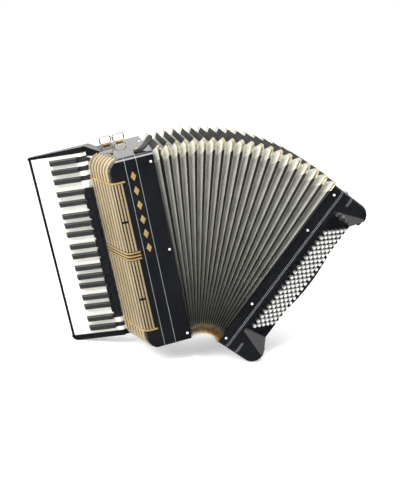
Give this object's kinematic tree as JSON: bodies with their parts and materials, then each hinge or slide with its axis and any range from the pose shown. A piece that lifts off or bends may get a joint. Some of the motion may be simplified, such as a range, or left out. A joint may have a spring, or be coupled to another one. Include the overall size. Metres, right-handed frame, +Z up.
{
  "type": "piano accordion",
  "caption": "Piano accordion with slotted grille, fanned pleated bellows, keyboard on one side and round chord buttons on the other.",
  "frame": {"origin": "middle of the footprint on the surface that the fanned instrument stands on", "axes": "+X from the keyboard side to the button side, +Y from the front to the player, +Z up"},
  "size_m": [0.8358, 0.201, 0.5704],
  "materials": {
    "gloss_black": "gloss",
    "gold": "satin",
    "dark_cloth": "matte",
    "ivory": "gloss",
    "key_black": "gloss",
    "steel": "satin",
    "chrome_wire": "polished",
    "wood": "satin",
    "black_frame": "satin",
    "bellows_cloth": "matte",
    "leather": "satin",
    "button_white": "gloss",
    "register_black": "gloss",
    "rubber_black": "matte"
  },
  "bodies": {
    "treble": {"treble_case": "gloss_black", "treble_cover": "gloss_black", "grille_bars": "gold", "grille_bands": "gold", "grille_lining": "dark_cloth", "keyboard_bed": "gloss_black", "key_axle": "steel", "treble_soundboard": "wood", "treble_reed_blocks": "wood", "register_housing": "register_black", "treble_bellows_frame": "black_frame", "treble_pins": "chrome_wire", "strap_brackets": "gold", "bellows_strap": "leather", "bellows_pleats": "bellows_cloth"},
    "bass": {"bass_case": "gloss_black", "bass_button_board": "gloss_black", "bass_feet": "rubber_black", "bass_pins": "chrome_wire", "bass_bellows_frame": "black_frame", "bass_reed_blocks": "wood", "bass_strap": "leather"},
    "treble_registers": {"treble_registers": "register_black"},
    "strap_loop_left": {"strap_loop_left": "chrome_wire"},
    "strap_loop_right": {"strap_loop_right": "chrome_wire"},
    "bass_buttons": {"bass_buttons": "button_white"},
    "bass_registers": {"bass_registers": "register_black"},
    "air_button": {"air_button": "button_white"},
    "strap_wheel": {"strap_wheel": "steel"},
    "white_key_01": {"white_key_01": "ivory"},
    "white_key_02": {"white_key_02": "ivory"},
    "white_key_03": {"white_key_03": "ivory"},
    "white_key_04": {"white_key_04": "ivory"},
    "white_key_05": {"white_key_05": "ivory"},
    "white_key_06": {"white_key_06": "ivory"},
    "white_key_07": {"white_key_07": "ivory"},
    "white_key_08": {"white_key_08": "ivory"},
    "white_key_09": {"white_key_09": "ivory"},
    "white_key_10": {"white_key_10": "ivory"},
    "white_key_11": {"white_key_11": "ivory"},
    "white_key_12": {"white_key_12": "ivory"},
    "white_key_13": {"white_key_13": "ivory"},
    "white_key_14": {"white_key_14": "ivory"},
    "white_key_15": {"white_key_15": "ivory"},
    "white_key_16": {"white_key_16": "ivory"},
    "white_key_17": {"white_key_17": "ivory"},
    "white_key_18": {"white_key_18": "ivory"},
    "white_key_19": {"white_key_19": "ivory"},
    "white_key_20": {"white_key_20": "ivory"},
    "white_key_21": {"white_key_21": "ivory"},
    "white_key_22": {"white_key_22": "ivory"},
    "white_key_23": {"white_key_23": "ivory"},
    "white_key_24": {"white_key_24": "ivory"},
    "black_keys_1": {"black_keys_1": "key_black"},
    "black_keys_2": {"black_keys_2": "key_black"},
    "black_keys_3": {"black_keys_3": "key_black"},
    "black_keys_4": {"black_keys_4": "key_black"},
    "black_keys_5": {"black_keys_5": "key_black"},
    "black_keys_6": {"black_keys_6": "key_black"},
    "black_keys_7": {"black_keys_7": "key_black"}
  },
  "joints": [
    {"name": "bellows_fan", "type": "hinge", "parent": "treble", "child": "bass", "pos_m": [0.02476, -0.0005, 0.07974], "axis": [0, 1, 0], "range_deg": [-48.7, 12], "deforming": ["bellows_pleats"]},
    {"name": "white_key_01_press", "type": "hinge", "parent": "treble", "child": "white_key_01", "pos_m": [-0.27688, 0.04405, 0.49659], "axis": [0.2716, 0, -0.9624], "range_deg": [0, 2], "stiffness_Nm_per_rad": 1, "springref_deg": -6.88},
    {"name": "white_key_02_press", "type": "hinge", "parent": "treble", "child": "white_key_02", "pos_m": [-0.2715, 0.04405, 0.47754], "axis": [0.2716, 0, -0.9624], "range_deg": [0, 2], "stiffness_Nm_per_rad": 1, "springref_deg": -6.88},
    {"name": "white_key_03_press", "type": "hinge", "parent": "treble", "child": "white_key_03", "pos_m": [-0.26613, 0.04405, 0.45849], "axis": [0.2716, 0, -0.9624], "range_deg": [0, 2], "stiffness_Nm_per_rad": 1, "springref_deg": -6.88},
    {"name": "white_key_04_press", "type": "hinge", "parent": "treble", "child": "white_key_04", "pos_m": [-0.26075, 0.04405, 0.43944], "axis": [0.2716, 0, -0.9624], "range_deg": [0, 2], "stiffness_Nm_per_rad": 1, "springref_deg": -6.88},
    {"name": "white_key_05_press", "type": "hinge", "parent": "treble", "child": "white_key_05", "pos_m": [-0.25538, 0.04405, 0.4204], "axis": [0.2716, 0, -0.9624], "range_deg": [0, 2], "stiffness_Nm_per_rad": 1, "springref_deg": -6.88},
    {"name": "white_key_06_press", "type": "hinge", "parent": "treble", "child": "white_key_06", "pos_m": [-0.25, 0.04405, 0.40135], "axis": [0.2716, 0, -0.9624], "range_deg": [0, 2], "stiffness_Nm_per_rad": 1, "springref_deg": -6.88},
    {"name": "white_key_07_press", "type": "hinge", "parent": "treble", "child": "white_key_07", "pos_m": [-0.24463, 0.04405, 0.3823], "axis": [0.2716, 0, -0.9624], "range_deg": [0, 2], "stiffness_Nm_per_rad": 1, "springref_deg": -6.88},
    {"name": "white_key_08_press", "type": "hinge", "parent": "treble", "child": "white_key_08", "pos_m": [-0.23925, 0.04405, 0.36325], "axis": [0.2716, 0, -0.9624], "range_deg": [0, 2], "stiffness_Nm_per_rad": 1, "springref_deg": -6.88},
    {"name": "white_key_09_press", "type": "hinge", "parent": "treble", "child": "white_key_09", "pos_m": [-0.23388, 0.04405, 0.34421], "axis": [0.2716, 0, -0.9624], "range_deg": [0, 2], "stiffness_Nm_per_rad": 1, "springref_deg": -6.88},
    {"name": "white_key_10_press", "type": "hinge", "parent": "treble", "child": "white_key_10", "pos_m": [-0.2285, 0.04405, 0.32516], "axis": [0.2716, 0, -0.9624], "range_deg": [0, 2], "stiffness_Nm_per_rad": 1, "springref_deg": -6.88},
    {"name": "white_key_11_press", "type": "hinge", "parent": "treble", "child": "white_key_11", "pos_m": [-0.22313, 0.04405, 0.30611], "axis": [0.2716, 0, -0.9624], "range_deg": [0, 2], "stiffness_Nm_per_rad": 1, "springref_deg": -6.88},
    {"name": "white_key_12_press", "type": "hinge", "parent": "treble", "child": "white_key_12", "pos_m": [-0.21775, 0.04405, 0.28706], "axis": [0.2716, 0, -0.9624], "range_deg": [0, 2], "stiffness_Nm_per_rad": 1, "springref_deg": -6.88},
    {"name": "white_key_13_press", "type": "hinge", "parent": "treble", "child": "white_key_13", "pos_m": [-0.21238, 0.04405, 0.26802], "axis": [0.2716, 0, -0.9624], "range_deg": [0, 2], "stiffness_Nm_per_rad": 1, "springref_deg": -6.88},
    {"name": "white_key_14_press", "type": "hinge", "parent": "treble", "child": "white_key_14", "pos_m": [-0.207, 0.04405, 0.24897], "axis": [0.2716, 0, -0.9624], "range_deg": [0, 2], "stiffness_Nm_per_rad": 1, "springref_deg": -6.88},
    {"name": "white_key_15_press", "type": "hinge", "parent": "treble", "child": "white_key_15", "pos_m": [-0.20163, 0.04405, 0.22992], "axis": [0.2716, 0, -0.9624], "range_deg": [0, 2], "stiffness_Nm_per_rad": 1, "springref_deg": -6.88},
    {"name": "white_key_16_press", "type": "hinge", "parent": "treble", "child": "white_key_16", "pos_m": [-0.19625, 0.04405, 0.21087], "axis": [0.2716, 0, -0.9624], "range_deg": [0, 2], "stiffness_Nm_per_rad": 1, "springref_deg": -6.88},
    {"name": "white_key_17_press", "type": "hinge", "parent": "treble", "child": "white_key_17", "pos_m": [-0.19087, 0.04405, 0.19182], "axis": [0.2716, 0, -0.9624], "range_deg": [0, 2], "stiffness_Nm_per_rad": 1, "springref_deg": -6.88},
    {"name": "white_key_18_press", "type": "hinge", "parent": "treble", "child": "white_key_18", "pos_m": [-0.1855, 0.04405, 0.17278], "axis": [0.2716, 0, -0.9624], "range_deg": [0, 2], "stiffness_Nm_per_rad": 1, "springref_deg": -6.88},
    {"name": "white_key_19_press", "type": "hinge", "parent": "treble", "child": "white_key_19", "pos_m": [-0.18013, 0.04405, 0.15373], "axis": [0.2716, 0, -0.9624], "range_deg": [0, 2], "stiffness_Nm_per_rad": 1, "springref_deg": -6.88},
    {"name": "white_key_20_press", "type": "hinge", "parent": "treble", "child": "white_key_20", "pos_m": [-0.17475, 0.04405, 0.13468], "axis": [0.2716, 0, -0.9624], "range_deg": [0, 2], "stiffness_Nm_per_rad": 1, "springref_deg": -6.88},
    {"name": "white_key_21_press", "type": "hinge", "parent": "treble", "child": "white_key_21", "pos_m": [-0.16937, 0.04405, 0.11563], "axis": [0.2716, 0, -0.9624], "range_deg": [0, 2], "stiffness_Nm_per_rad": 1, "springref_deg": -6.88},
    {"name": "white_key_22_press", "type": "hinge", "parent": "treble", "child": "white_key_22", "pos_m": [-0.164, 0.04405, 0.09659], "axis": [0.2716, 0, -0.9624], "range_deg": [0, 2], "stiffness_Nm_per_rad": 1, "springref_deg": -6.88},
    {"name": "white_key_23_press", "type": "hinge", "parent": "treble", "child": "white_key_23", "pos_m": [-0.15862, 0.04405, 0.07754], "axis": [0.2716, 0, -0.9624], "range_deg": [0, 2], "stiffness_Nm_per_rad": 1, "springref_deg": -6.88},
    {"name": "white_key_24_press", "type": "hinge", "parent": "treble", "child": "white_key_24", "pos_m": [-0.15325, 0.04405, 0.05849], "axis": [0.2716, 0, -0.9624], "range_deg": [0, 2], "stiffness_Nm_per_rad": 1, "springref_deg": -6.88},
    {"name": "black_keys_1_press", "type": "hinge", "parent": "treble", "child": "black_keys_1", "pos_m": [-0.26881, 0.04405, 0.46802], "axis": [0.2716, 0, -0.9624], "range_deg": [0, 2], "stiffness_Nm_per_rad": 1, "springref_deg": -17.19},
    {"name": "black_keys_2_press", "type": "hinge", "parent": "treble", "child": "black_keys_2", "pos_m": [-0.25, 0.04405, 0.40135], "axis": [0.2716, 0, -0.9624], "range_deg": [0, 2], "stiffness_Nm_per_rad": 1, "springref_deg": -17.19},
    {"name": "black_keys_3_press", "type": "hinge", "parent": "treble", "child": "black_keys_3", "pos_m": [-0.23119, 0.04405, 0.33468], "axis": [0.2716, 0, -0.9624], "range_deg": [0, 2], "stiffness_Nm_per_rad": 1, "springref_deg": -17.19},
    {"name": "black_keys_4_press", "type": "hinge", "parent": "treble", "child": "black_keys_4", "pos_m": [-0.21238, 0.04405, 0.26802], "axis": [0.2716, 0, -0.9624], "range_deg": [0, 2], "stiffness_Nm_per_rad": 1, "springref_deg": -17.19},
    {"name": "black_keys_5_press", "type": "hinge", "parent": "treble", "child": "black_keys_5", "pos_m": [-0.19356, 0.04405, 0.20135], "axis": [0.2716, 0, -0.9624], "range_deg": [0, 2], "stiffness_Nm_per_rad": 1, "springref_deg": -17.19},
    {"name": "black_keys_6_press", "type": "hinge", "parent": "treble", "child": "black_keys_6", "pos_m": [-0.17475, 0.04405, 0.13468], "axis": [0.2716, 0, -0.9624], "range_deg": [0, 2], "stiffness_Nm_per_rad": 1, "springref_deg": -17.19},
    {"name": "black_keys_7_press", "type": "hinge", "parent": "treble", "child": "black_keys_7", "pos_m": [-0.15862, 0.04405, 0.07754], "axis": [0.2716, 0, -0.9624], "range_deg": [0, 2], "stiffness_Nm_per_rad": 1, "springref_deg": -17.19},
    {"name": "treble_register_press", "type": "hinge", "parent": "treble", "child": "treble_registers", "pos_m": [-0.22808, 0.02238, 0.25568], "axis": [0.2716, 0, -0.9624], "range_deg": [0, 8], "stiffness_Nm_per_rad": 1, "springref_deg": -11.46},
    {"name": "strap_loop_left_swing", "type": "hinge", "parent": "treble", "child": "strap_loop_left", "pos_m": [-0.22738, 0.0825, 0.51668], "axis": [0.9624, 0, 0.2716], "range_deg": [-85, 85]},
    {"name": "strap_loop_right_swing", "type": "hinge", "parent": "treble", "child": "strap_loop_right", "pos_m": [-0.19562, 0.0825, 0.52564], "axis": [0.9624, 0, 0.2716], "range_deg": [-85, 85]},
    {"name": "bass_buttons_press", "type": "slide", "parent": "bass", "child": "bass_buttons", "axis": [-0.394, 0.8829, 0.2553], "range_m": [0, 0.0035], "stiffness_N_per_m": 400, "springref_m": -0.008},
    {"name": "bass_registers_press", "type": "slide", "parent": "bass", "child": "bass_registers", "axis": [-0.394, 0.8829, 0.2553], "range_m": [0, 0.003], "stiffness_N_per_m": 300, "springref_m": -0.005},
    {"name": "air_button_press", "type": "slide", "parent": "bass", "child": "air_button", "axis": [-0.8392, 0, 0.5438], "range_m": [0, 0.004], "stiffness_N_per_m": 300, "springref_m": -0.006},
    {"name": "strap_wheel_turn", "type": "hinge", "parent": "bass", "child": "strap_wheel", "pos_m": [0.39853, 0.0425, 0.40832], "axis": [0.8392, 0, -0.5438], "continuous": true}
  ]
}
